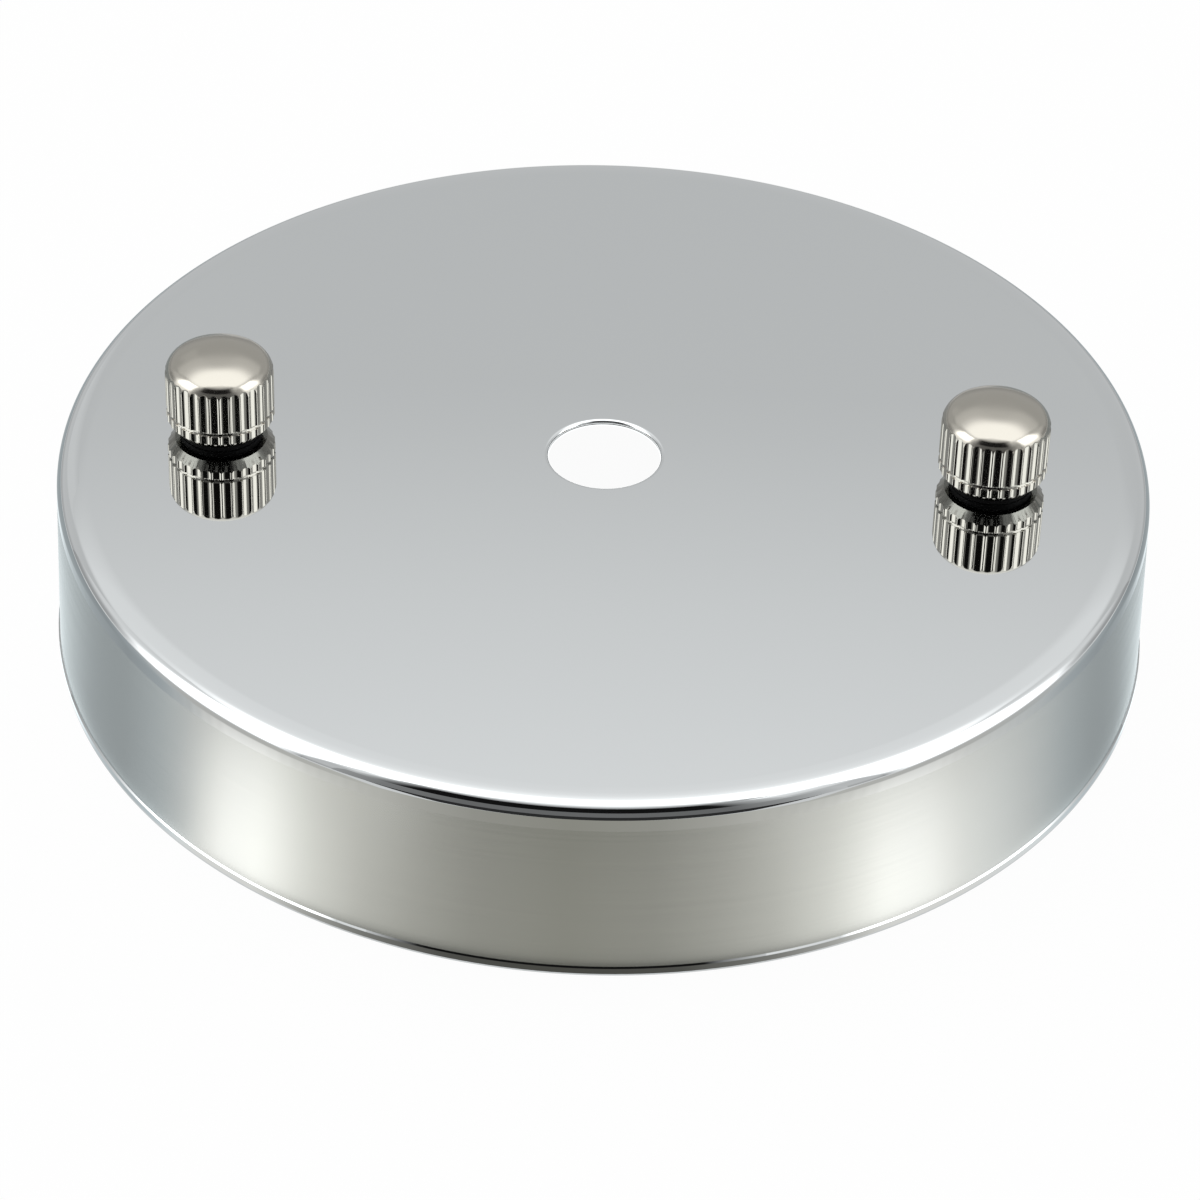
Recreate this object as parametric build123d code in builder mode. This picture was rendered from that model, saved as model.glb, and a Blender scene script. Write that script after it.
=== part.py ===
from build123d import *

import os
from math import cos, radians, sqrt, tan

# Ceiling canopy: a drawn sheet-metal cup that hides the wiring where a pendant lamp meets the ceiling.
# It stands face up on its rim, with +Z up, in millimetres, and the origin is the middle of the rim's plane.
# A crossbar inside carries two studs, which come up through the face and take knurled cap nuts.

# Canopy cover, one drawn sheet
rim_diameter = 100.0
cover_height = 18.0
sheet = 0.6
skirt_taper = 0.5
fold_radius = 1.4
lip_projection = 0.22
lip_height = 0.9
cord_hole_diameter = 10.2

# Studs, slotted pan-head screws that stand on the crossbar
stud_inset = 15.0
stud_diameter = 4.0
stud_tip_chamfer = 0.4
head_diameter = 7.6
head_height = 2.3
head_fillet = 0.9
driver_slot_width = 1.1
driver_slot_depth = 1.1
stud_hole_clearance = 0.25

# Crossbar, a punched strip whose two ends stand off the ceiling to clear the stud heads
bar_width = 15.0
bar_thickness = 1.5
bar_end_margin = 6.0
bar_end_radius = 3.0
head_room = 0.7
bar_bend_radius = 1.2
bar_seat_reach = 7.5
bar_bend_angle = 45.0
bar_hole_diameter = 10.2
bar_stud_clearance = 0.15
ceiling_slot_length = 9.0
ceiling_slot_width = 4.5

# Hexagon locknuts that hold the studs upright on the crossbar
locknut_across_flats = 7.0
locknut_height = 2.8
locknut_chamfer = 0.5
locknut_chamfer_angle = 30.0

# Black washers under the cap nuts
washer_diameter = 7.5
washer_thickness = 0.8
washer_edge_fillet = 0.15

# Knurled cap nuts
nut_diameter = 9.8
nut_height = 7.5
nut_chamfer_height = 0.85
nut_crown_radius = 10.0
nut_shoulder_radius = 1.6
flute_count = 33
flute_radius = 0.45
flute_depth = 0.22
groove_level = 1.6
groove_width = 0.3
groove_depth = 0.16
neck_diameter = 6.0
neck_face_gap = 0.3
neck_clearance = 0.05
dome_wall = 1.9
bore_overrun = 0.4
thread_clearance = 0.05

# Levels and places that follow from the sizes above
rim_radius = rim_diameter / 2
skirt_foot_radius = rim_radius - lip_projection
skirt_top_radius = skirt_foot_radius - skirt_taper
inner_face_level = cover_height - sheet
stud_spacing = rim_diameter - 2 * stud_inset
stud_places = {"left": -stud_spacing / 2, "right": stud_spacing / 2}
stud_points = [(x, 0) for x in stud_places.values()]
stud_radius = stud_diameter / 2
bore_radius = stud_radius + thread_clearance
bar_rise = head_height + head_room
bar_end_top = bar_rise + bar_thickness
bar_half_length = stud_spacing / 2 + bar_end_margin
bar_bend_reach = stud_spacing / 2 - bar_seat_reach
bar_flat_reach = bar_bend_reach - bar_rise / tan(radians(bar_bend_angle))
ceiling_slot_spacing = bar_hole_diameter / 2 + bar_flat_reach
neck_length = washer_thickness - neck_face_gap
nut_radius = nut_diameter / 2
nut_seat_level = cover_height + washer_thickness
nut_shoulder_level = nut_height - nut_crown_radius + sqrt(nut_crown_radius**2 - nut_radius**2)
bore_depth = neck_length + nut_height - dome_wall
stud_tip_level = nut_seat_level + nut_height - dome_wall - bore_overrun
stud_length = stud_tip_level - bar_rise

os.makedirs("parts", exist_ok=True)

# Canopy cover: the sheet's section is turned about the axis, then the face is pierced
with BuildPart() as canopy_cover:
    with BuildSketch(Plane.XZ):
        with BuildLine():
            outside = FilletPolyline(
                (0, cover_height),
                (skirt_top_radius, cover_height),
                (skirt_foot_radius, lip_height),
                radius=fold_radius,
            )
            lip = ThreePointArc(outside @ 1, (rim_radius, lip_height / 2), (skirt_foot_radius, 0))
            rim = Line(lip @ 1, (skirt_foot_radius - sheet, 0))
            foot = Line(rim @ 1, (skirt_foot_radius - sheet, lip_height))
            inside = FilletPolyline(
                foot @ 1,
                (skirt_top_radius - sheet, inner_face_level),
                (0, inner_face_level),
                radius=fold_radius - sheet,
            )
            Line(inside @ 1, outside @ 0)
        make_face()
    revolve(axis=Axis.Z)
    with BuildSketch(Plane.XY.offset(inner_face_level)):
        Circle(cord_hole_diameter / 2)
        with Locations(*stud_points):
            Circle(stud_radius + stud_hole_clearance)
    extrude(amount=sheet, mode=Mode.SUBTRACT)
canopy_cover.part.label = "canopy_cover"
export_step(canopy_cover.part, "parts/canopy_cover.step")

# Crossbar: the strip's edge view is drawn along its length, made as wide as the strip and punched
with BuildPart() as crossbar:
    with BuildSketch(Plane.XZ):
        with BuildLine():
            FilletPolyline(
                (-bar_half_length, bar_rise),
                (-bar_bend_reach, bar_rise),
                (-bar_flat_reach, 0),
                (bar_flat_reach, 0),
                (bar_bend_reach, bar_rise),
                (bar_half_length, bar_rise),
                radius=bar_bend_radius + bar_thickness,
            )
            offset(amount=bar_thickness, side=Side.LEFT)
        make_face()
    extrude(amount=bar_width / 2, both=True)
    corners = crossbar.edges().filter_by(Axis.Z).group_by(Axis.X)
    fillet(corners[0] + corners[-1], radius=bar_end_radius)
    with BuildSketch():
        Circle(bar_hole_diameter / 2)
        with Locations(*stud_points):
            Circle(stud_radius + bar_stud_clearance)
        with GridLocations(ceiling_slot_spacing, 0, 2, 1):
            SlotOverall(ceiling_slot_length, ceiling_slot_width)
    extrude(amount=bar_end_top, mode=Mode.SUBTRACT)
crossbar.part.label = "crossbar"
export_step(crossbar.part, "parts/crossbar.step")

for side, x in stud_places.items():
    # Stud: a slotted pan head under the crossbar's end, and a shank that comes up through the face
    with BuildPart() as stud:
        with Locations((x, 0, bar_rise)):
            Cylinder(head_diameter / 2, head_height, align=(Align.CENTER, Align.CENTER, Align.MAX))
            Cylinder(stud_radius, stud_length, align=(Align.CENTER, Align.CENTER, Align.MIN))
        rounds = stud.edges().filter_by(GeomType.CIRCLE).sort_by(Axis.Z)
        fillet(rounds[0], radius=head_fillet)
        chamfer(rounds[-1], length=stud_tip_chamfer)
        with BuildSketch(Plane.XY.offset(bar_rise - head_height)):
            with Locations((x, 0)):
                Rectangle(driver_slot_width, head_diameter)
        extrude(amount=driver_slot_depth, mode=Mode.SUBTRACT)
    stud.part.label = f"{side}_stud"
    export_step(stud.part, f"parts/{side}_stud.step")

    # Locknut: a turned and chamfered blank cut to a hexagon, on top of the crossbar's end
    with BuildPart() as locknut:
        with Locations((x, 0, bar_end_top)):
            Cylinder(
                locknut_across_flats / 2 / cos(radians(30)),
                locknut_height,
                align=(Align.CENTER, Align.CENTER, Align.MIN),
            )
        chamfer(
            locknut.edges().filter_by(GeomType.CIRCLE),
            length=locknut_chamfer * tan(radians(locknut_chamfer_angle)),
            length2=locknut_chamfer,
        )
        with BuildSketch(Plane.XY.offset(bar_end_top)):
            with Locations((x, 0)):
                RegularPolygon(locknut_across_flats / 2, 6, major_radius=False)
                Circle(bore_radius, mode=Mode.SUBTRACT)
        extrude(amount=locknut_height, mode=Mode.INTERSECT)
    locknut.part.label = f"{side}_locknut"
    export_step(locknut.part, f"parts/{side}_locknut.step")

    # Washer: a soft ring pushed over the cap nut's neck, between the nut and the face
    with BuildPart() as washer:
        with BuildSketch(Plane.XY.offset(cover_height)):
            with Locations((x, 0)):
                Circle(washer_diameter / 2)
                Circle(neck_diameter / 2 + neck_clearance, mode=Mode.SUBTRACT)
        extrude(amount=washer_thickness)
        fillet(washer.edges().group_by(SortBy.LENGTH)[-1], radius=washer_edge_fillet)
    washer.part.label = f"{side}_washer"
    export_step(washer.part, f"parts/{side}_washer.step")

    # Cap nut: a turned body with a domed top, then the flutes, the turned groove and the blind bore
    with BuildPart() as cap_nut:
        with BuildSketch(Plane.XZ.shift_origin((x, 0, nut_seat_level))) as turned:
            with BuildLine():
                crown = RadiusArc((0, nut_height), (nut_radius, nut_shoulder_level), nut_crown_radius)
                Polyline(
                    crown @ 1,
                    (nut_radius, nut_chamfer_height),
                    (washer_diameter / 2, 0),
                    (neck_diameter / 2, 0),
                    (neck_diameter / 2, -neck_length),
                    (0, -neck_length),
                    crown @ 0,
                )
            make_face()
            shoulder = turned.vertices().group_by(Axis.X)[-1].sort_by(Axis.Y)[-1]
            fillet(shoulder, radius=nut_shoulder_radius)
        revolve(axis=Axis((x, 0, 0), (0, 0, 1)))
        with BuildSketch(Plane.XY.offset(nut_seat_level)):
            with Locations((x, 0)):
                with PolarLocations(nut_radius + flute_radius - flute_depth, flute_count):
                    Circle(flute_radius)
        extrude(amount=nut_height, mode=Mode.SUBTRACT)
        with BuildSketch(Plane.XY.offset(nut_seat_level + groove_level)):
            with Locations((x, 0)):
                Circle(nut_radius + flute_radius)
                Circle(nut_radius - groove_depth, mode=Mode.SUBTRACT)
        extrude(amount=groove_width, mode=Mode.SUBTRACT)
        with BuildSketch(Plane.XY.offset(nut_seat_level - neck_length)):
            with Locations((x, 0)):
                Circle(bore_radius)
        extrude(amount=bore_depth, mode=Mode.SUBTRACT)
    cap_nut.part.label = f"{side}_cap_nut"
    export_step(cap_nut.part, f"parts/{side}_cap_nut.step")
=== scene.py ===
# %% [markdown]
# # A chromed ceiling canopy
# A ceiling canopy is the metal cup that hides the wiring where a pendant lamp meets the ceiling. This one
# stands face up on its rim, with two knurled cap nuts on top. The solids come from CAD and stay where they
# are. Here each one gets a finer mesh of the same form, and a finish that behaves like the real plating.

# %% Load the frame
import math

import bmesh
import bpy
from mathutils import Matrix, Vector


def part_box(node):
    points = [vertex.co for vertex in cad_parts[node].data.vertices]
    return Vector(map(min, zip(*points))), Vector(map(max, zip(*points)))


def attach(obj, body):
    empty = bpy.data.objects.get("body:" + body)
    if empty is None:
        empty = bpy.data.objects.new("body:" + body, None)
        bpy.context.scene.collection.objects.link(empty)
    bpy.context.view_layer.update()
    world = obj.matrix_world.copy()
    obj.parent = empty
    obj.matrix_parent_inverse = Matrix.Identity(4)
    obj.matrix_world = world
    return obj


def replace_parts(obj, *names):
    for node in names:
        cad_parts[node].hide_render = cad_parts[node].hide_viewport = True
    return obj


MM = 0.001
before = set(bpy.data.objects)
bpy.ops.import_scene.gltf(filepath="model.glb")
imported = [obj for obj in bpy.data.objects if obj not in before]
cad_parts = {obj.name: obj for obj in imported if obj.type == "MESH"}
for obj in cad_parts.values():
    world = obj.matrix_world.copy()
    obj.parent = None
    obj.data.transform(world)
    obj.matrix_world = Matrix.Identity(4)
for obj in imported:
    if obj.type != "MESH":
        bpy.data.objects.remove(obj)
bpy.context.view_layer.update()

# %% [markdown]
# ## Helpers for node trees
# Every material and every Geometry Nodes tree is a handful of nodes and links. One function adds a node:
# plain keywords are the node's own settings, and the dictionary fills its sockets, by a value or by a link.
# Colours are written as sRGB hex, as a paint chart would give them, and turned to linear light once.

# %% Node helpers
def add(tree, kind, sockets=None, **settings):
    node = tree.nodes.new(kind)
    for name, value in settings.items():
        setattr(node, name, value)
    for name, value in (sockets or {}).items():
        if isinstance(value, bpy.types.NodeSocket):
            tree.links.new(value, node.inputs[name])
        else:
            node.inputs[name].default_value = value
    return node


def linear(colour):
    parts = [int(colour[i : i + 2], 16) / 255 for i in (1, 3, 5)]
    return [p / 12.92 if p <= 0.04045 else ((p + 0.055) / 1.055) ** 2.4 for p in parts] + [1.0]


def blank_material(name):
    material = bpy.data.materials.new(name)
    material.use_nodes = True
    material.node_tree.nodes.clear()
    return material, material.node_tree


def maths(tree, operation, *values):
    return add(tree, "ShaderNodeMath", dict(enumerate(values)), operation=operation).outputs[0]


print("Mid grey in linear light:", round(linear("#808080")[0], 3))

# %% [markdown]
# ## Helpers for finishes
# All finishes share a few steps, so each step is a short function: noise of a real size in millimetres, one
# range of values spread over another, a bump of a real height, and the shader that takes them all.

# %% Finish helpers
noise_range = (0.3, 0.7)


def waves_per_metre(size_mm):
    return 1 / (size_mm * MM)


def noise(tree, place, size_mm, detail):
    sockets = {"Vector": place, "Scale": waves_per_metre(size_mm), "Detail": detail}
    return add(tree, "ShaderNodeTexNoise", sockets).outputs["Fac"]


def stretched_noise(tree, place, sizes_mm, detail, degrees=0):
    sockets = {"Vector": place, "Rotation": (0, 0, math.radians(degrees))}
    sockets["Scale"] = [waves_per_metre(size) for size in sizes_mm]
    stretch = add(tree, "ShaderNodeMapping", sockets).outputs[0]
    lines = add(tree, "ShaderNodeTexNoise", {"Vector": stretch, "Scale": 1.0, "Detail": detail})
    return lines.outputs["Fac"]


def spread(tree, value, given, wanted):
    sockets = {"Value": value, "From Min": given[0], "From Max": given[1]}
    sockets.update({"To Min": wanted[0], "To Max": wanted[1]})
    return add(tree, "ShaderNodeMapRange", sockets).outputs[0]


def bump(tree, pattern, height_mm):
    sockets = {"Height": pattern, "Distance": height_mm * MM, "Strength": 1.0}
    return add(tree, "ShaderNodeBump", sockets).outputs[0]


def with_shader(material, sockets):
    tree = material.node_tree
    shader = add(tree, "ShaderNodeBsdfPrincipled", sockets)
    add(tree, "ShaderNodeOutputMaterial", {"Surface": shader.outputs[0]})
    print("Made", material.name, "with", len(tree.nodes), "nodes")
    return material


print("A pattern of 2 mm repeats", round(waves_per_metre(2)), "times in a metre")

# %% [markdown]
# ## Polished chromium plate
# The face is sheet metal, buffed to a mirror and plated with chromium. A mirror takes its looks from the
# room, so the shader is plain: metallic, the cool grey of chromium, and hardly any roughness. What keeps it
# from looking computed is the buffing haze, soft patches and fine lines where the mirror is less clear, and
# a slight waviness of the drawn sheet, which bends the reflections a little.

# %% Polished chromium
haze_patch_mm = 14.0
haze_range = (0.12, 0.45)
sheet_wave_mm = 30.0
sheet_wave_height_mm = 0.0012
buff_line_mm = 0.16
buff_line_length_mm = 30.0
buff_degrees = 24
mirror_roughness = (0.008, 0.035)


def polished_chromium():
    material, tree = blank_material("chromium_plate_polished")
    place = add(tree, "ShaderNodeTexCoord").outputs["Object"]
    line_sizes = (buff_line_length_mm, buff_line_mm, buff_line_length_mm)
    lines = stretched_noise(tree, place, line_sizes, detail=2.0, degrees=buff_degrees)
    haze = maths(tree, "MULTIPLY", noise(tree, place, haze_patch_mm, detail=3.0), lines)
    wave = noise(tree, place, sheet_wave_mm, detail=1.0)
    return with_shader(
        material,
        {
            "Base Color": linear("#C5C8C9"),
            "Metallic": 1.0,
            "Roughness": spread(tree, haze, haze_range, mirror_roughness),
            "Normal": bump(tree, wave, sheet_wave_height_mm),
        },
    )


chromium_polished = polished_chromium()

# %% [markdown]
# ## Spun chromium plate
# The skirt was finished while the cup turned on a spindle. The abrasive left rings round it, far too fine
# to count, and such rings smear a reflection across themselves: a lamp becomes an upright streak of light.
# Blender's Anisotropic setting does just that, and round the Z axis it needs no tangent of its own. A few
# coarser rings, drawn wide enough to show in the render, break the streaks up.

# %% Spun chromium
spun_ring_mm = 0.3
spun_patch_mm = 25.0
spun_ring_height_mm = 0.00004
spun_roughness = (0.21, 0.25)


def spun_chromium():
    material, tree = blank_material("chromium_plate_spun")
    place = add(tree, "ShaderNodeTexCoord").outputs["Object"]
    ring_sizes = (spun_patch_mm, spun_patch_mm, spun_ring_mm)
    rings = stretched_noise(tree, place, ring_sizes, detail=4.0)
    return with_shader(
        material,
        {
            "Base Color": linear("#C6C9C8"),
            "Metallic": 1.0,
            "Roughness": spread(tree, rings, noise_range, spun_roughness),
            "Anisotropic": 0.95,
            "Anisotropic Rotation": 0.25,
            "Normal": bump(tree, rings, spun_ring_height_mm),
        },
    )


chromium_spun = spun_chromium()

# %% [markdown]
# ## Satin nickel
# The cap nuts are turned from bar and nickel plated. Nickel is warmer than chromium, and the dome has a
# silky, tumbled surface that spreads each highlight, while the cut flutes stayed bright. One material does
# both: the mesh carries a number called bright, 0 on the dome and 1 on the flutes, and roughness follows it.

# %% Satin nickel
tumble_mm = 0.12
tumble_height_mm = 0.0008
nickel_patch_mm = 2.5
patch_roughness = 0.06
dome_roughness = 0.12
flute_roughness = 0.06


def satin_nickel():
    material, tree = blank_material("nickel_plate_satin")
    place = add(tree, "ShaderNodeTexCoord").outputs["Object"]
    bright = add(tree, "ShaderNodeAttribute", attribute_name="bright").outputs["Fac"]
    base = spread(tree, bright, (0, 1), (dome_roughness, flute_roughness))
    patch = noise(tree, place, nickel_patch_mm, detail=2.0)
    return with_shader(
        material,
        {
            "Base Color": linear("#A29F97"),
            "Metallic": 1.0,
            "Specular Tint": linear("#F0F0F0"),
            "Roughness": maths(tree, "MULTIPLY_ADD", patch, patch_roughness, base),
            "Normal": bump(tree, noise(tree, place, tumble_mm, detail=2.0), tumble_height_mm),
        },
    )


nickel_satin = satin_nickel()

# %% [markdown]
# ## Dull plate, brass, zinc, rubber and bare steel
# Nobody buffs the inside of a cup, so it keeps the dull plate that comes out of the bath. The studs are
# yellow brass screws, the strip inside and its locknuts are zinc plated, a black rubber washer sits under
# each cap nut, and the punch left a fine line of bare steel in the cord hole. These differ in colours and
# roughness but share one recipe: a cloudy tone between two colours, a roughness that follows the same
# clouds, and a fine grain as bump.

# %% Dull plate, brass, zinc, rubber and bare steel
def cloudy(name, dark, light, cloud_mm, grain_mm, grain_height_mm, rough, metallic=1.0, shine=0.5):
    material, tree = blank_material(name)
    place = add(tree, "ShaderNodeTexCoord").outputs["Object"]
    cloud = noise(tree, place, cloud_mm, detail=4.0)
    tone = add(tree, "ShaderNodeValToRGB", {"Fac": cloud})
    for stop, position, colour in zip(tone.color_ramp.elements, noise_range, (dark, light)):
        stop.position = position
        stop.color = linear(colour)
    return with_shader(
        material,
        {
            "Base Color": tone.outputs["Color"],
            "Metallic": metallic,
            "Specular IOR Level": shine,
            "Roughness": spread(tree, cloud, noise_range, rough),
            "Normal": bump(tree, noise(tree, place, grain_mm, detail=2.0), grain_height_mm),
        },
    )


chromium_dull = cloudy(
    "chromium_plate_unpolished", "#A9ACAD", "#BFC2C2",
    cloud_mm=6.0, grain_mm=0.35, grain_height_mm=0.002, rough=(0.3, 0.42),
)
brass_turned = cloudy(
    "brass_turned", "#C29A4E", "#DDBB72",
    cloud_mm=1.6, grain_mm=0.15, grain_height_mm=0.002, rough=(0.18, 0.32),
)
zinc_plated = cloudy(
    "steel_zinc_plated", "#A4A8AB", "#C3C5C2",
    cloud_mm=3.0, grain_mm=0.25, grain_height_mm=0.003, rough=(0.3, 0.45),
)
steel_sheared = cloudy(
    "steel_sheared", "#33312E", "#4C4A46",
    cloud_mm=0.8, grain_mm=0.1, grain_height_mm=0.004, rough=(0.45, 0.65),
)
rubber_black = cloudy(
    "rubber_moulded_black", "#050505", "#0C0C0C",
    cloud_mm=1.2, grain_mm=0.12, grain_height_mm=0.008, rough=(0.6, 0.8), metallic=0.0, shine=0.08,
)

# %% [markdown]
# ## Turning a section
# Most pieces here are round, so they are made as a lathe makes them: a section, drawn as points of radius
# and height in millimetres, is swept round an upright axis. Blender's Screw modifier could do it too. A
# short function is used instead, because it leaves the mesh at the origin with its place in the vertices.

# %% Turning helpers
on_axis = 1e-6
weld_distance = 1e-7


def arc(centre, radius, start, end, steps):
    angles = [math.radians(start + (end - start) * i / steps) for i in range(steps + 1)]
    return [(centre[0] + radius * math.cos(a), centre[1] + radius * math.sin(a)) for a in angles]


def bends(start, heading, pieces):
    points = [start]
    for radius, turn, steps in pieces:
        part = math.radians(turn / steps)
        for _ in range(steps):
            way = math.radians(heading) + part / 2
            chord = 2 * radius * math.sin(abs(part) / 2)
            points.append((points[-1][0] + chord * math.cos(way), points[-1][1] + chord * math.sin(way)))
            heading += turn / steps
    return points


def ring(shape, radius, height, steps, axis):
    if radius < on_axis:
        return [shape.verts.new((axis * MM, 0, height * MM))] * steps
    turns = [2 * math.pi * i / steps for i in range(steps)]
    return [
        shape.verts.new(((axis + radius * math.cos(t)) * MM, radius * math.sin(t) * MM, height * MM))
        for t in turns
    ]


def mesh_from(shape, name):
    mesh = bpy.data.meshes.new(name)
    shape.to_mesh(mesh)
    shape.free()
    return mesh


def skin(shape, columns):
    for near, far in zip(columns, columns[1:]):
        for i in range(len(near) - 1):
            shape.faces.new((near[i], near[i + 1], far[i + 1], far[i]))


def turned(name, section, steps, axis=0.0, closed=False):
    shape = bmesh.new()
    rings = [ring(shape, radius, height, steps, axis) for radius, height in section]
    following = rings[1:] + rings[:1] if closed else rings[1:]
    for above, below in zip(rings, following):
        for i in range(steps):
            j = (i + 1) % steps
            corners = dict.fromkeys((above[i], below[i], below[j], above[j]))
            if len(corners) > 2:
                shape.faces.new(corners)
    bmesh.ops.recalc_face_normals(shape, faces=shape.faces)
    return mesh_from(shape, name)


def new_object(name, mesh):
    made = bpy.data.objects.new(name, mesh)
    bpy.context.scene.collection.objects.link(made)
    return made


def show(name, mesh, body, material=None, sharp_degrees=35):
    mesh.shade_smooth()
    mesh.set_sharp_from_angle(angle=math.radians(sharp_degrees))
    if material:
        mesh.materials.clear()
        mesh.materials.append(material)
    piece = new_object(name, mesh)
    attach(piece, body)
    return piece


def finished_mesh(made):
    bpy.context.view_layer.update()
    mesh = bpy.data.meshes.new_from_object(made.evaluated_get(bpy.context.evaluated_depsgraph_get()))
    bpy.data.objects.remove(made)
    return mesh


print("A quarter round in 2 steps:", [tuple(round(v, 2) for v in p) for p in arc((0, 0), 1, 0, 90, steps=2)])

# %% [markdown]
# ## The cover's section
# The cover is one sheet, drawn into a cup. Pressing leaves the face very slightly rounded towards its edge,
# then a tight fold, then a skirt that flares a little, and last a narrow raised band along the rim. The soft
# shoulder is only a tenth of a millimetre deep, yet on a mirror it makes the broad white light along the
# front edge, so the section draws it. A short step next to each bend keeps the flat face's shading flat.

# %% The cover's section
cover_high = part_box("canopy_cover")[1]
rim_radius = cover_high.x / MM
cover_height = cover_high.z / MM
sheet = 0.6
lip_projection = 0.14
lip_height = 0.9
lip_round = 0.06
lip_bevel = 0.13
skirt_taper = 0.5
cord_hole_radius = 5.1
hole_edge = 0.3
sheared_line = 0.09
shoulder_slope = 7.0
shoulder_radius = 12.5
fold_radius = 1.38
step = 0.06
step_lean = step * 0.03
polished_band = 1.0
foot_radius = rim_radius - lip_projection
top_radius = foot_radius - skirt_taper
sheared_top = cover_height - hole_edge
flare = math.degrees(math.atan2(skirt_taper, cover_height - lip_height))


def fold_centre(top, radius, corner_radius):
    height = top - radius * math.cos(math.radians(shoulder_slope))
    lean = math.radians(flare)
    across = corner_radius + (cover_height - height) * math.tan(lean) - radius / math.cos(lean)
    return across, height


def cover_section():
    drop = shoulder_radius * (1 - math.cos(math.radians(shoulder_slope)))
    fold = fold_centre(cover_height - drop, fold_radius, top_radius)
    fold_points = arc(fold, fold_radius, 90 - shoulder_slope, flare, steps=20)
    shoulder_start = fold_points[0][0] - shoulder_radius * math.sin(math.radians(shoulder_slope))
    shoulder_middle = (shoulder_start, cover_height - shoulder_radius)
    shoulder = arc(shoulder_middle, shoulder_radius, 90, 90 - shoulder_slope, steps=10)
    hole = arc((cord_hole_radius + hole_edge, sheared_top), hole_edge, 180, 90, steps=8)
    flat = [(hole[-1][0] + step, cover_height), (shoulder_start - step, cover_height)]
    band_foot = fold_points[-1][1] - polished_band
    band_radius = top_radius + (cover_height - band_foot) * math.tan(math.radians(flare))
    lip_edge = rim_radius - lip_round
    lip = [(rim_radius, lip_height - lip_bevel), (rim_radius, lip_round + step)]
    lip += arc((lip_edge, lip_round), lip_round, 0, -90, steps=4)
    skirt = [(band_radius, band_foot), (band_radius + step_lean, band_foot - step)]
    lip_top = [(foot_radius - step_lean, lip_height + step), (foot_radius, lip_height)]
    inner_corner = top_radius - sheet
    inside_height = cover_height - sheet
    inner_fold = fold_centre(inside_height - drop, fold_radius - sheet, inner_corner)
    inner = arc(inner_fold, fold_radius - sheet, flare, 90 - shoulder_slope, steps=10)
    foot = [(foot_radius - sheet, 0), (foot_radius - sheet, lip_height)]
    ceiling = [(shoulder_start, inside_height), (cord_hole_radius + step, inside_height)]
    wall = [(cord_hole_radius, inside_height + step), (cord_hole_radius, sheared_top - sheared_line)]
    outside = hole + flat + shoulder + fold_points[1:] + skirt + lip_top + lip
    return outside + foot + inner + ceiling + wall


cover_points = cover_section()
print("Cover section:", len(cover_points), "points, flare", round(flare, 2), "degrees")

# %% [markdown]
# ## The cover
# The section is turned, then a Boolean modifier punches the two stud holes. The finish changes along the
# section: polished down to a fine line just below the fold, spun from there to the rim, dull inside, and a
# thin line of bare steel under the rolled edge of the cord hole. Each face picks its material from where it
# lies, so the line falls where the buffing wheel stopped.

# %% The cover
stud_x = {side: sum(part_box(f"{side}_stud")[i].x for i in (0, 1)) / 2 / MM for side in ("left", "right")}
stud_hole_radius = 2.25
punch_above = 1
punch_below = 2
around = 288
facing_down = -0.5
POLISHED, SPUN, DULL, SHEARED = range(4)


def make_cover():
    blank = new_object("cover_blank", turned("cover_blank", cover_points, around, closed=True))
    punches = []
    for side, x in stud_x.items():
        top, bottom = cover_height + punch_above, cover_height - punch_below
        section = [(0, top), (stud_hole_radius, top), (stud_hole_radius, bottom), (0, bottom)]
        punch = new_object(f"{side}_punch", turned(f"{side}_punch", section, steps=64, axis=x))
        cut = blank.modifiers.new(f"{side}_hole", "BOOLEAN")
        cut.operation = "DIFFERENCE"
        cut.solver = "EXACT"
        cut.object = punch
        punches.append(punch)
    mesh = finished_mesh(blank)
    for punch in punches:
        bpy.data.objects.remove(punch)
    return mesh


def finish_of(face):
    out = math.hypot(face.center.x, face.center.y) / MM
    height = face.center.z / MM
    outward = face.normal.x * face.center.x + face.normal.y * face.center.y
    if out < cord_hole_radius + step / 2 and sheared_top - sheared_line < height < sheared_top:
        return SHEARED
    if height > cover_height - sheet and face.normal.z > facing_down:
        return POLISHED
    inner_wall = out < foot_radius - sheet + step and height > step and outward < 0
    if inner_wall or face.normal.z < facing_down:
        return DULL
    polished_foot = cover_height - fold_radius - polished_band
    return SPUN if lip_height < height < polished_foot else POLISHED


cover_mesh = make_cover()
cover_mesh.materials.clear()
for material in (chromium_polished, chromium_spun, chromium_dull, steel_sheared):
    cover_mesh.materials.append(material)
for face in cover_mesh.polygons:
    face.material_index = finish_of(face)
cover = show("cover_shell", cover_mesh, "canopy")
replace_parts(cover, "canopy_cover")
picked = [face.material_index for face in cover_mesh.polygons]
finishes = [picked.count(kind) for kind in (POLISHED, SPUN, DULL, SHEARED)]
print("Cover faces, polished, spun, dull and sheared:", finishes)

# %% [markdown]
# ## One flute of a cap nut
# A cap nut has 33 equal flutes. So only one slice is modelled, from the middle of one ridge to the middle of
# the next. Its plan is a wide, shallow hollow that bends up into a small rounded ridge. Every upright line
# of the slice runs from the top of the dome down to its own run-out, where the cut meets the dome, so that
# edge comes out crisp and curved without a Boolean. The dome itself is three bends: nearly flat in the
# middle, rounder outside and tight at the shoulder.

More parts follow.
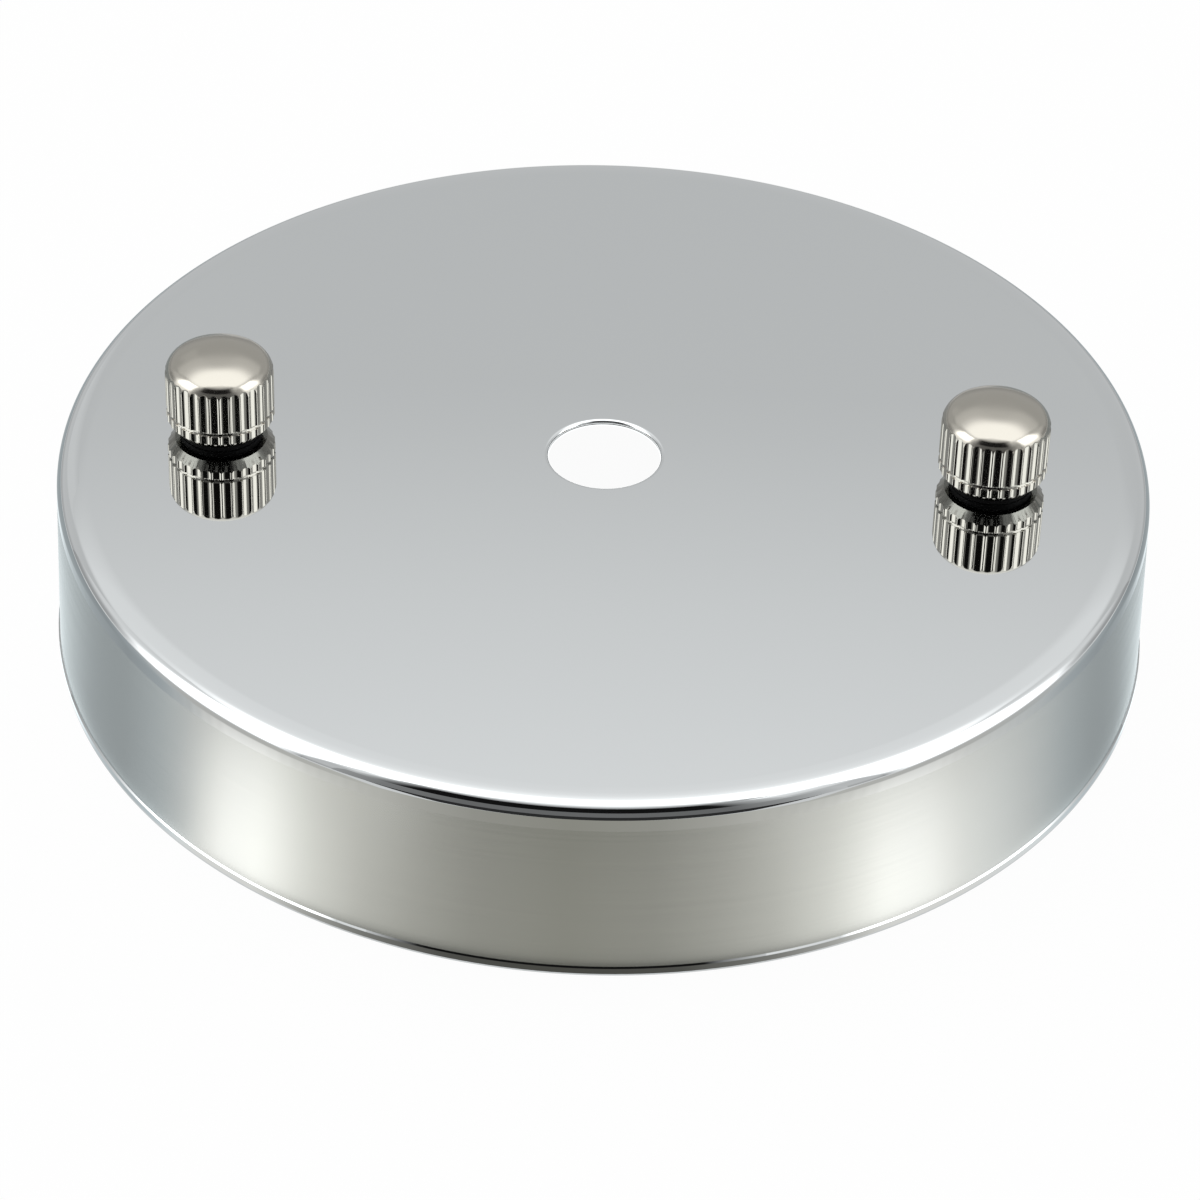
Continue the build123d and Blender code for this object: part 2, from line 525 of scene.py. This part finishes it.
# %% One slice of the cap nut
nut_low, nut_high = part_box("left_cap_nut")
washer_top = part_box("left_washer")[1].z / MM
nut_radius = 4.9
nut_height = nut_high.z / MM - washer_top
neck_length = washer_top - nut_low.z / MM
dome_bends = ((24.0, -3.5, 3), (7.43, -19.6, 8))
shoulder_radius_nut = 1.6
shoulder_start_angle = 66.9
chamfer_height = 0.85
foot_of_nut = 4.2
neck_radius = 3.0
bore_radius = 2.05
dome_wall = 1.9
bore_top = nut_height - dome_wall
groove_level = 1.55
groove_width = 0.4
groove_depth = 0.16
groove_side = 0.05
groove_floor = nut_radius - groove_depth
rest_brightness = 0.6
flute_count = 33
flute_bends = ((0.99, 15.5, 5), (0.25, 29.5, 4), (0.13, -45.0, 6))
half_slice = math.pi / flute_count
crown = bends((0, nut_height), 0, dome_bends)
shoulder_rise = shoulder_radius_nut * math.sin(math.radians(shoulder_start_angle))
shoulder_centre = (nut_radius - shoulder_radius_nut, crown[-1][1] - shoulder_rise)


def slice_columns():
    half = bends((0, 0), 0, flute_bends)
    width, depth = half[-1]
    side = [(half_slice * x / width, nut_radius - depth + y) for x, y in half]
    return [(-a, r) for a, r in reversed(side[1:])] + side


def column_points(wall):
    run_out = math.degrees(math.acos((wall - shoulder_centre[0]) / shoulder_radius_nut))
    shoulder = arc(shoulder_centre, shoulder_radius_nut, shoulder_start_angle, run_out, steps=14)[1:]
    top = shoulder[-1][1]
    groove_top = groove_level + groove_width
    floor = min(wall, groove_floor)
    foot = chamfer_height * (wall - foot_of_nut) / (nut_radius - foot_of_nut)
    middle = (top + groove_top) / 2
    flank = [(wall, height) for height in (top - step, middle, groove_top + step, groove_top)]
    groove = [(floor, groove_top - groove_side), (floor, groove_level + groove_side)]
    lower = [(wall, height) for height in (groove_level, groove_level - step, foot + step, foot)]
    under = [(foot_of_nut, 0), (foot_of_nut - step, 0), (neck_radius, 0), (neck_radius, -neck_length)]
    bore = [(bore_radius, -neck_length), (bore_radius, bore_top), (0, bore_top)]
    return crown + shoulder, flank + groove + lower, under + bore


def nut_slice():
    shape = bmesh.new()
    bright = shape.verts.layers.float.new("bright")
    columns = []
    for angle, wall in slice_columns():
        dome, cut, rest = column_points(wall)
        column = []
        for part, value in ((dome, 0.0), (cut, 1.0), (rest, rest_brightness)):
            for radius, height in part:
                x = radius * math.cos(angle)
                y = radius * math.sin(angle)
                vert = shape.verts.new((x * MM, y * MM, height * MM))
                vert[bright] = value
                column.append(vert)
        columns.append(column)
    skin(shape, columns)
    bmesh.ops.remove_doubles(shape, verts=shape.verts, dist=weld_distance)
    bmesh.ops.dissolve_degenerate(shape, edges=shape.edges, dist=weld_distance)
    return mesh_from(shape, "nut_slice")


slice_mesh = nut_slice()
print("Slice of the cap nut:", len(slice_mesh.polygons), "faces")

# %% [markdown]
# ## The cap nuts
# Geometry Nodes repeat the slice: one point per flute, the slice as an instance on each, turned by its share
# of a full turn. Realize Instances makes it one mesh, and Merge by Distance sews the slices together.

# %% Repeating a slice round the axis
sew_distance = 1e-6


def repeat_round_axis():
    tree = bpy.data.node_groups.new("repeat_round_axis", "GeometryNodeTree")
    tree.interface.new_socket("Slice", in_out="INPUT", socket_type="NodeSocketGeometry")
    count = tree.interface.new_socket("Count", in_out="INPUT", socket_type="NodeSocketInt")
    finish = tree.interface.new_socket("Finish", in_out="INPUT", socket_type="NodeSocketMaterial")
    tree.interface.new_socket("Whole", in_out="OUTPUT", socket_type="NodeSocketGeometry")
    given = add(tree, "NodeGroupInput").outputs
    share = maths(tree, "DIVIDE", 2 * math.pi, given["Count"])
    angle = maths(tree, "MULTIPLY", add(tree, "GeometryNodeInputIndex").outputs[0], share)
    turn = add(tree, "FunctionNodeAxisAngleToRotation", {"Axis": (0, 0, 1), "Angle": angle})
    points = add(tree, "GeometryNodePoints", {"Count": given["Count"]})
    copies = add(
        tree,
        "GeometryNodeInstanceOnPoints",
        {"Points": points.outputs[0], "Instance": given["Slice"], "Rotation": turn.outputs[0]},
    )
    real = add(tree, "GeometryNodeRealizeInstances", {"Geometry": copies.outputs[0]}).outputs[0]
    sewn = add(tree, "GeometryNodeMergeByDistance", {"Geometry": real, "Distance": sew_distance}).outputs[0]
    painted = add(tree, "GeometryNodeSetMaterial", {"Geometry": sewn, "Material": given["Finish"]})
    add(tree, "NodeGroupOutput", {"Whole": painted.outputs[0]})
    return tree, count.identifier, finish.identifier


def make_nut(side, tree, count_id, finish_id):
    made = new_object(f"{side}_slices", slice_mesh.copy())
    repeat = made.modifiers.new("repeat", "NODES")
    repeat.node_group = tree
    repeat[count_id] = flute_count
    repeat[finish_id] = nickel_satin
    mesh = finished_mesh(made)
    mesh.transform(Matrix.Translation((stud_x[side] * MM, 0, washer_top * MM)))
    nut = show(f"{side}_nut_shell", mesh, f"{side}_nut", sharp_degrees=40)
    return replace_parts(nut, f"{side}_cap_nut")


round_axis = repeat_round_axis()
cap_nuts = {side: make_nut(side, *round_axis) for side in stud_x}
print("Cap nuts:", {side: len(nut.data.polygons) for side, nut in cap_nuts.items()}, "faces each")

# %% [markdown]
# ## The washers
# A soft washer stands between each nut and the face. Moulded rubber has no sharp edge, so its section is a
# rectangle with four small rounds, turned like the rest.

# %% The washers
washer_round = 0.14
washer_clearance = 0.05


def make_washer(side):
    low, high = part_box(f"{side}_washer")
    outer = (high.x - low.x) / 2 / MM
    inner = neck_radius + washer_clearance
    bottom, top = low.z / MM, high.z / MM
    section = arc((outer - washer_round, top - washer_round), washer_round, 90, 0, steps=4)
    section += arc((outer - washer_round, bottom + washer_round), washer_round, 0, -90, steps=4)
    section += arc((inner + washer_round, bottom + washer_round), washer_round, 270, 180, steps=4)
    section += arc((inner + washer_round, top - washer_round), washer_round, 180, 90, steps=4)
    mesh = turned(f"{side}_washer_ring", section, steps=96, axis=stud_x[side], closed=True)
    piece = show(f"{side}_washer_ring", mesh, f"{side}_washer", rubber_black)
    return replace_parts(piece, f"{side}_washer")


washers = {side: make_washer(side) for side in stud_x}
print("Washers:", {side: len(piece.data.polygons) for side, piece in washers.items()}, "faces each")

# %% [markdown]
# ## The studs' thread
# A screw thread is a ridge that climbs by one pitch in each turn. In Geometry Nodes it is a cylinder whose
# points move in or out by their phase: height over pitch, less the angle as a share of a turn. Where the
# phase is near a whole number the point is on the crest, and half a pitch on it is at the root.

# %% The thread
thread_sides = 48
rows_per_pitch = 14
crest_radius = 1.99
root_radius = 1.6
pitch = 0.7
crest_share = 0.06
root_share = 0.38


def threaded_rod():
    tree = bpy.data.node_groups.new("threaded_rod", "GeometryNodeTree")
    kinds = dict.fromkeys(("Length", "Crest", "Root", "Pitch", "Tip"), "NodeSocketFloat")
    kinds.update({"Rows": "NodeSocketInt", "Finish": "NodeSocketMaterial"})
    sockets = {
        name: tree.interface.new_socket(name, in_out="INPUT", socket_type=kind).identifier
        for name, kind in kinds.items()
    }
    tree.interface.new_socket("Rod", in_out="OUTPUT", socket_type="NodeSocketGeometry")
    given = add(tree, "NodeGroupInput").outputs
    rod = add(
        tree,
        "GeometryNodeMeshCylinder",
        {
            "Vertices": thread_sides,
            "Side Segments": given["Rows"],
            "Radius": given["Crest"],
            "Depth": given["Length"],
        },
        fill_type="TRIANGLE_FAN",
    )
    position = add(tree, "GeometryNodeInputPosition").outputs[0]
    spot = add(tree, "ShaderNodeSeparateXYZ", {0: position}).outputs
    share = maths(tree, "DIVIDE", maths(tree, "ARCTAN2", spot["Y"], spot["X"]), 2 * math.pi)
    phase = maths(tree, "SUBTRACT", maths(tree, "DIVIDE", spot["Z"], given["Pitch"]), share)
    swing = maths(tree, "PINGPONG", phase, 0.5)
    ridge = spread(tree, swing, (crest_share, root_share), (given["Crest"], given["Root"]))
    left_over = maths(tree, "SUBTRACT", maths(tree, "MULTIPLY", given["Length"], 0.5), spot["Z"])
    kept = maths(tree, "MINIMUM", ridge, maths(tree, "ADD", left_over, given["Tip"]))
    scale = maths(tree, "DIVIDE", kept, given["Crest"])
    across = maths(tree, "MULTIPLY", spot["X"], scale)
    along = maths(tree, "MULTIPLY", spot["Y"], scale)
    moved = add(tree, "ShaderNodeCombineXYZ", {"X": across, "Y": along, "Z": spot["Z"]}).outputs[0]
    shaped = add(tree, "GeometryNodeSetPosition", {"Geometry": rod.outputs[0], "Position": moved})
    real = add(tree, "GeometryNodeRealizeInstances", {"Geometry": shaped.outputs[0]}).outputs[0]
    painted = add(tree, "GeometryNodeSetMaterial", {"Geometry": real, "Material": given["Finish"]})
    add(tree, "NodeGroupOutput", {"Rod": painted.outputs[0]})
    return tree, sockets


rod_tree, rod_sockets = threaded_rod()
print("Thread tree:", len(rod_tree.nodes), "nodes, inputs", ", ".join(rod_sockets))

# %% [markdown]
# ## The studs
# Each stud is a slotted pan-head screw that stands head down on the strip. The head is turned and a Boolean
# modifier saws the slot. The rod comes from the tree above. Both are joined into one mesh per stud.

# %% The studs
head_radius = 3.8
head_height = 2.3
head_round = 0.9
head_edge = 0.1
rod_overlap = 0.3
slot_width = 1.1
slot_depth = 1.1
tip_chamfer = 0.4


def rod_mesh(side, bottom, top):
    blank = new_object(f"{side}_rod", bpy.data.meshes.new(f"{side}_rod"))
    thread = blank.modifiers.new("thread", "NODES")
    thread.node_group = rod_tree
    length = top - bottom
    sizes = {"Length": length, "Crest": crest_radius, "Root": root_radius, "Pitch": pitch}
    sizes["Tip"] = crest_radius - tip_chamfer
    for name, size in sizes.items():
        thread[rod_sockets[name]] = size * MM
    thread[rod_sockets["Rows"]] = round(length / pitch * rows_per_pitch)
    thread[rod_sockets["Finish"]] = brass_turned
    mesh = finished_mesh(blank)
    mesh.transform(Matrix.Translation((stud_x[side] * MM, 0, (bottom + top) / 2 * MM)))
    return mesh


def head_mesh(side, bottom):
    top = bottom + head_height
    section = [(0, top)] + arc((head_radius - head_edge, top - head_edge), head_edge, 90, 0, steps=3)
    section += arc((head_radius - head_round, bottom + head_round), head_round, 0, -90, steps=8)
    section.append((0, bottom))
    head = new_object(f"{side}_head", turned(f"{side}_head", section, steps=96, axis=stud_x[side]))
    saw = bmesh.new()
    bmesh.ops.create_cube(saw, size=MM)
    bmesh.ops.scale(saw, verts=saw.verts, vec=(slot_width, 3 * head_radius, 2 * slot_depth))
    bmesh.ops.translate(saw, verts=saw.verts, vec=(stud_x[side] * MM, 0, bottom * MM))
    blade = new_object(f"{side}_saw", mesh_from(saw, f"{side}_saw"))
    cut = head.modifiers.new("slot", "BOOLEAN")
    cut.operation = "DIFFERENCE"
    cut.solver = "EXACT"
    cut.object = blade
    mesh = finished_mesh(head)
    bpy.data.objects.remove(blade)
    return mesh


def make_stud(side):
    low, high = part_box(f"{side}_stud")
    bottom, top = low.z / MM, high.z / MM
    joined = bmesh.new()
    joined.from_mesh(rod_mesh(side, bottom + head_height - rod_overlap, top))
    joined.from_mesh(head_mesh(side, bottom))
    mesh = mesh_from(joined, f"{side}_screw")
    piece = show(f"{side}_screw", mesh, "canopy", brass_turned, sharp_degrees=50)
    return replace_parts(piece, f"{side}_stud")


studs = {side: make_stud(side) for side in stud_x}
print("Studs:", {side: len(piece.data.polygons) for side, piece in studs.items()}, "faces each")

# %% [markdown]
# ## The strip and its locknuts
# Inside, the CAD shapes are already right, so a copy of each is enough. A CAD mesh is loose triangles, so
# the copy is merged first. Then a Bevel modifier breaks the edges by a tenth of a millimetre, as tumbling
# does.

# %% The strip and its locknuts
broken_edge = 0.1
flat_degrees = 1
edge_degrees = 35


def eased_copy(node):
    shape = bmesh.new()
    shape.from_mesh(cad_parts[node].data)
    bmesh.ops.remove_doubles(shape, verts=shape.verts, dist=weld_distance)
    flat = math.radians(flat_degrees)
    bmesh.ops.dissolve_limit(
        shape, angle_limit=flat, verts=shape.verts, edges=shape.edges, delimit=set()
    )
    made = new_object(f"{node}_eased", mesh_from(shape, f"{node}_eased"))
    bevel = made.modifiers.new("broken_edge", "BEVEL")
    bevel.width = broken_edge * MM
    bevel.segments = 2
    bevel.limit_method = "ANGLE"
    bevel.angle_limit = math.radians(edge_degrees)
    bevel.harden_normals = False
    mesh = finished_mesh(made)
    piece = show(f"{node}_eased", mesh, "canopy", zinc_plated)
    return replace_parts(piece, node)


inside = [eased_copy(node) for node in ("crossbar", "left_locknut", "right_locknut")]
print("Inside pieces:", {piece.name: len(piece.data.polygons) for piece in inside})

# %% [markdown]
# ## The camera
# The camera stands where the photograph was taken from: in front, looking down by nearly forty degrees, with
# a long lens. It aims a little in front of the middle of the cover, and is rolled by less than two degrees.

# %% The camera
aim = Vector((0.64, -9.98, 9.0)) * MM
camera_distance = 415.44 * MM
camera_azimuth = math.radians(3.757)
camera_elevation = math.radians(38.004)
camera_roll = math.radians(1.686)
back = Vector(
    (
        math.sin(camera_azimuth) * math.cos(camera_elevation),
        -math.cos(camera_azimuth) * math.cos(camera_elevation),
        math.sin(camera_elevation),
    )
)
right = Vector((math.cos(camera_azimuth), math.sin(camera_azimuth), 0))
upright = Matrix((right, back.cross(right), back)).transposed()
lens = bpy.data.cameras.new("camera")
lens.sensor_width = 36.0
lens.lens = 138.37
lens.clip_start = 0.01
camera = bpy.data.objects.new("camera", lens)
camera.matrix_world = Matrix.Translation(aim + back * camera_distance) @ (
    upright @ Matrix.Rotation(camera_roll, 3, "Z")
).to_4x4()
bpy.context.scene.collection.objects.link(camera)
bpy.context.scene.camera = camera
print("Camera at", [round(v / MM, 1) for v in camera.matrix_world.translation], "mm")

# %% [markdown]
# ## The room
# Chromium shows the room it stands in. Here that is a white tent that grows brighter overhead: a ColorRamp
# on the height of each direction. The camera itself sees plain white, and matt pieces get an even light.

# %% The room
room_peak = 2.6
room_tones = {0: 0.55, 6: 0.65, 13: 0.82, 33: 0.8, 35.5: 0.82, 38: 1.0, 40.5: 1.14}
room_tones.update({46: 1.17, 50: 1.28, 54: 1.6, 58: 2.2, 62: 2.6})
matt_light = 0.75


def make_room():
    world = bpy.data.worlds.new("room")
    bpy.context.scene.world = world
    world.use_nodes = True
    tree = world.node_tree
    tree.nodes.clear()
    direction = add(tree, "ShaderNodeTexCoord").outputs["Generated"]
    height = add(tree, "ShaderNodeSeparateXYZ", {0: direction}).outputs["Z"]
    share = maths(tree, "MULTIPLY_ADD", height, 0.5, 0.5)
    ramp = add(tree, "ShaderNodeValToRGB", {"Fac": share})
    stops = ramp.color_ramp.elements
    while len(stops) < len(room_tones):
        stops.new(0.5)
    for stop, (elevation, tone) in zip(stops, room_tones.items()):
        stop.position = (math.sin(math.radians(elevation)) + 1) / 2
        stop.color = (tone / room_peak,) * 3 + (1,)
    tent = add(tree, "ShaderNodeBackground", {"Color": ramp.outputs["Color"], "Strength": room_peak})
    even = add(tree, "ShaderNodeBackground", {"Color": linear("#FFFFFF"), "Strength": matt_light})
    plain = add(tree, "ShaderNodeBackground", {"Color": linear("#FFFFFF"), "Strength": 1.0})
    ray = add(tree, "ShaderNodeLightPath").outputs
    cast = add(
        tree, "ShaderNodeMixShader", {0: ray["Is Glossy Ray"], 1: even.outputs[0], 2: tent.outputs[0]}
    )
    seen = add(
        tree, "ShaderNodeMixShader", {0: ray["Is Camera Ray"], 1: cast.outputs[0], 2: plain.outputs[0]}
    )
    add(tree, "ShaderNodeOutputWorld", {"Surface": seen.outputs[0]})
    return world


room = make_room()
print("Room:", len(room.node_tree.nodes), "nodes")

# %% [markdown]
# ## The floor
# The floor is white paper. For the camera, and in reflections, most of it is a plain white glow, so that it
# meets the background without an edge. The rest is matt, which keeps a soft shadow. From below it is clear.

# %% The floor
floor_half = 4.0
floor_level = -0.05
glow_share = 0.95


def make_floor():
    shape = bmesh.new()
    bmesh.ops.create_grid(shape, x_segments=1, y_segments=1, size=floor_half)
    bmesh.ops.translate(shape, verts=shape.verts, vec=(0, 0, floor_level * MM))
    mesh = mesh_from(shape, "floor")
    material, tree = blank_material("paper_white")
    matt = add(tree, "ShaderNodeBsdfDiffuse", {"Color": linear("#F4F4F4")})
    glow = add(tree, "ShaderNodeEmission", {"Color": linear("#FFFFFF"), "Strength": 1.0})
    clear = add(tree, "ShaderNodeBsdfTransparent")
    ray = add(tree, "ShaderNodeLightPath").outputs
    seen = maths(tree, "MAXIMUM", ray["Is Camera Ray"], ray["Is Glossy Ray"])
    seen = maths(tree, "MAXIMUM", seen, ray["Is Transmission Ray"])
    share = maths(tree, "MULTIPLY", seen, glow_share)
    paper = add(tree, "ShaderNodeMixShader", {0: share, 1: matt.outputs[0], 2: glow.outputs[0]})
    below = add(tree, "ShaderNodeNewGeometry").outputs["Backfacing"]
    whole = add(tree, "ShaderNodeMixShader", {0: below, 1: paper.outputs[0], 2: clear.outputs[0]})
    add(tree, "ShaderNodeOutputMaterial", {"Surface": whole.outputs[0]})
    mesh.materials.append(material)
    floor = new_object("floor", mesh)
    return floor


floor = make_floor()
print("Made", floor.name, "of", 2 * floor_half, "m square")

# %% [markdown]
# ## Cards round the object
# A photographer shapes the reflections on bright metal with cards that stay out of the picture. Two soft
# panels at the sides make the white lobes on the nuts, and a small panel at the back left is a little
# brighter than the room. A black card round the lens makes the crisp dark line along the front fold. A card
# above it goes from grey to white, and a grey one hangs below. Each card is a patch of a sphere, and a
# colour on its vertices says how bright it is there, so that a card can fade out sideways or upwards.

# %% Cards
card_distance = 0.8
card_columns = 40
card_rows = 12
panel_rise = {-2: 0.5, 10: 0.5, 24: 1, 52: 1}
top_rise = {56: 0.35, 60: 0.5, 64: 0.85, 70: 1.3, 76: 1.8, 82: 2.2, 88: 2.5}


def glossy_only(piece):
    piece.visible_camera = False
    piece.visible_diffuse = False
    piece.visible_transmission = False
    piece.visible_volume_scatter = False
    piece.visible_shadow = False
    return piece


def between(table, spot):
    keys = sorted(table)
    spot = max(spot, keys[0])
    for low, high in zip(keys, keys[1:]):
        if spot <= high:
            return table[low] + (table[high] - table[low]) * (spot - low) / (high - low)
    return table[keys[-1]]


def lit(name, mesh, strength=None):
    material, tree = blank_material(name)
    if strength is None:
        glow = add(tree, "ShaderNodeAttribute", attribute_name="glow").outputs["Color"]
        light = add(tree, "ShaderNodeEmission", {"Color": glow, "Strength": 1.0})
    else:
        light = add(tree, "ShaderNodeEmission", {"Color": linear("#FFFFFF"), "Strength": strength})
    add(tree, "ShaderNodeOutputMaterial", {"Surface": light.outputs[0]})
    mesh.materials.append(material)
    return glossy_only(new_object(name, mesh))


def card(name, tones, rise):
    shape = bmesh.new()
    glow = shape.verts.layers.float_vector.new("glow")
    first, last = min(tones), max(tones)
    low, high = min(rise), max(rise)
    columns = []
    for i in range(card_columns + 1):
        bearing = first + (last - first) * i / card_columns
        a = math.radians(bearing) + camera_azimuth
        column = []
        for j in range(card_rows + 1):
            elevation = low + (high - low) * j / card_rows
            e = math.radians(elevation)
            out = Vector((math.sin(a) * math.cos(e), -math.cos(a) * math.cos(e), math.sin(e)))
            vert = shape.verts.new(out * card_distance)
            vert[glow] = Vector((1, 1, 1)) * between(tones, bearing) * between(rise, elevation)
            column.append(vert)
        columns.append(column)
    skin(shape, columns[::-1])
    return lit(name, mesh_from(shape, name))


cards = [
    card("left_panel", {-120: 1.0, -104: 1.1, -98: 1.8, -92: 4.2, -60: 4.2, -54: 1.0}, panel_rise),
    card("right_panel", {53: 1.0, 59: 4.2, 92: 4.2, 98: 1.8, 104: 1.1, 120: 1.0}, panel_rise),
    card("back_panel", {-163: 0.82, -160: 0.92, -150: 0.92, -144: 0.8}, {27: 1, 37: 1}),
    card("lens_card", {-48: 0.9, -42: 0.35, -37: 0.01, 25: 0.01, 30: 0.4, 38: 0.9}, {28: 1, 56: 1}),
    card("top_card", {-50: 1.6, -30: 1, 25: 1, 45: 1.6}, top_rise),
    card("low_card", {-48: 0.5, -38: 0.3, -25: 0.22, 25: 0.22, 36: 0.5, 46: 0.85}, {-3: 1, 28: 1}),
]
print("Cards:", [piece.name for piece in cards])

# %% [markdown]
# ## A glowing fan on the floor
# The skirt mirrors the floor round it. A ray that meets the skirt at some bearing from the camera leaves it
# at twice that bearing, so a fan of glowing strips laid along those lines, seen only in reflections, gives
# each bearing one tone from top to bottom: grey in front, a painted pool of light at each side, cool grey
# beyond and white at the back. Close to the rim the fan has tones of its own, a painted shade in front where
# the rim's shade lies, and far out the painted pools of light fade.

# %% The fan
fan_half = 90
fan_step = 1.5
fan_level = 0.15
rim_reach = 1.2
pool_reach = 15.0
far_reach = 28.0
fan_reach = (0.05, 1.15, 1.4, pool_reach, far_reach, 36.0)
fan_far = {22: 36.5, 26: 150.0, 58: 150.0, 68: 500.0}
fan_centre = {0: -2.5, 40: -2.5, 50: 3.0, 64: 3.0, 76: 0.0, 90: 0.0}
# Tones by bearing close to the rim: painted shade in front, lighter round the sides and back.
rim_painted_shade_tones = {0: 0.11, 12: 0.13, 21: 0.32, 27: 0.6, 33: 1.1, 48: 1.1}
rim_painted_shade_tones.update({58: 0.72, 66: 0.8, 72: 1.5, 95: 1.7})
# Tones by bearing farther out: grey in front, painted pools of light at the sides, white at the back.
fan_painted_light_tones = {0: 0.42, 9: 0.47, 15: 0.6, 21: 0.8, 27: 1.15, 33: 1.75, 38: 1.6}
fan_painted_light_tones.update({47: 0.78, 53: 0.58, 60: 0.45, 68: 0.52, 74: 0.85, 80: 1.25, 95: 1.4})
far_tones = {0: 0.75, 56: 0.7, 68: 0.52, 95: 0.52}
white_share = {0: 0, 36: 1}
cool_share = {42: 0, 54: 1}
olive = Vector((1.03, 1.0, 0.87))
warm_white = Vector((1.02, 1.0, 0.96))
cool = Vector((0.92, 1.0, 1.03))


def fan_painted_glow(angle, reach):
    bearing = abs(angle - between(fan_centre, abs(angle)))
    tint = olive.lerp(warm_white, between(white_share, bearing))
    tint = tint.lerp(cool, between(cool_share, bearing))
    # Near the rim the fan paints the rim's shade: dark in front, lighter at the sides and back.
    if reach < rim_reach:
        return tint * between(rim_painted_shade_tones, bearing)
    # Farther out it paints the pools of light at the sides, fading with reach.
    tone = between(fan_painted_light_tones, bearing)
    far_tone = min(tone, between(far_tones, bearing))
    return tint * between({pool_reach: tone, far_reach: far_tone}, reach)


def fan_mesh():
    shape = bmesh.new()
    glow = shape.verts.layers.float_vector.new("glow")
    columns = []
    for i in range(int(2 * fan_half / fan_step) + 1):
        angle = -fan_half + i * fan_step
        a = math.radians(angle) + camera_azimuth
        leaving = 2 * math.radians(angle) + camera_azimuth
        column = []
        for reach in fan_reach + (between(fan_far, abs(angle)),):
            x = rim_radius * math.sin(a) + reach * math.sin(leaving)
            y = -rim_radius * math.cos(a) - reach * math.cos(leaving)
            vert = shape.verts.new((x * MM, y * MM, fan_level * MM))
            vert[glow] = fan_painted_glow(angle, reach)
            column.append(vert)
        columns.append(column)
    skin(shape, columns)
    return mesh_from(shape, "fan")


# The fan glows and only reflections see it: a painted reflection of the floor's light and shade.
fan = lit("fan", fan_mesh())
print("Fan:", len(fan.data.polygons), "faces")

# %% [markdown]
# ## A dark strip in front
# Farther out in front, a dark strip that only reflections see makes the floor look dark there. The fold
# shows it as a second fine dark line.

# %% The dark strip
strip_near = 36.0
strip_far = 800.0
strip_half_angle = 44.0
strip_glow = 0.04


def make_strip():
    corners = []
    for reach, sides in ((strip_near, (-1, 1)), (strip_far, (1, -1))):
        for side in sides:
            across = side * reach * math.tan(math.radians(strip_half_angle))
            corners.append(Vector((across * MM, -(rim_radius + reach) * MM, fan_level * MM)))
    mesh = bpy.data.meshes.new("dark_strip")
    mesh.from_pydata(corners, [], [(0, 1, 2, 3)])
    mesh.transform(Matrix.Rotation(camera_azimuth, 4, "Z"))
    return lit("dark_strip", mesh, strip_glow)


dark_strip = make_strip()
print("Made", dark_strip.name, "from", strip_near, "to", strip_far, "mm in front of the rim")

# %% [markdown]
# ## A glowing card under the hole
# The wall of the cord hole mirrors what lies below the face. A small card there glows, seen only in
# reflections, and paints a light reflection on the wall, as light as the paper that shows through the hole.

# %% The glowing card under the hole
hole_card_level = 14.0
hole_card_radius = 7.5
hole_card_glow = 1.9
hole_card_section = [(0, hole_card_level), (hole_card_radius, hole_card_level)]
hole_card_mesh = turned("hole_glow_card", hole_card_section, steps=48)
# The card glows and only reflections see it: a painted reflection on the wall of the cord hole.
hole_glow_card = lit("hole_glow_card", hole_card_mesh, hole_card_glow)
print("Made", hole_glow_card.name, "of", 2 * hole_card_radius, "mm across")

# %% [markdown]
# ## A soft lamp
# One large lamp above gives the matt pieces and the floor a direction of light. It doesn't show in the
# metal, because the room already does.

# %% The lamp
lamp_data = bpy.data.lights.new("soft_lamp", "AREA")
lamp_data.shape = "RECTANGLE"
lamp_data.size = 0.9
lamp_data.size_y = 0.7
lamp_data.energy = 2.5
lamp = bpy.data.objects.new("soft_lamp", lamp_data)
lamp_place = Vector((-0.25, 0.1, 0.9))
lamp_turn = lamp_place.to_track_quat("Z", "Y").to_matrix().to_4x4()
lamp.matrix_world = Matrix.Translation(lamp_place) @ lamp_turn
lamp.visible_glossy = False
bpy.context.scene.collection.objects.link(lamp)
bpy.context.scene.view_settings.view_transform = "Standard"
print("Lamp of", lamp_data.energy, "W at", [round(v, 2) for v in lamp_place], "m")

# %% [markdown]
# ## Last update
# The view layer is updated once more. The finished pieces have to stay inside the CAD
# model's box.

# %% Last update
bpy.context.view_layer.update()
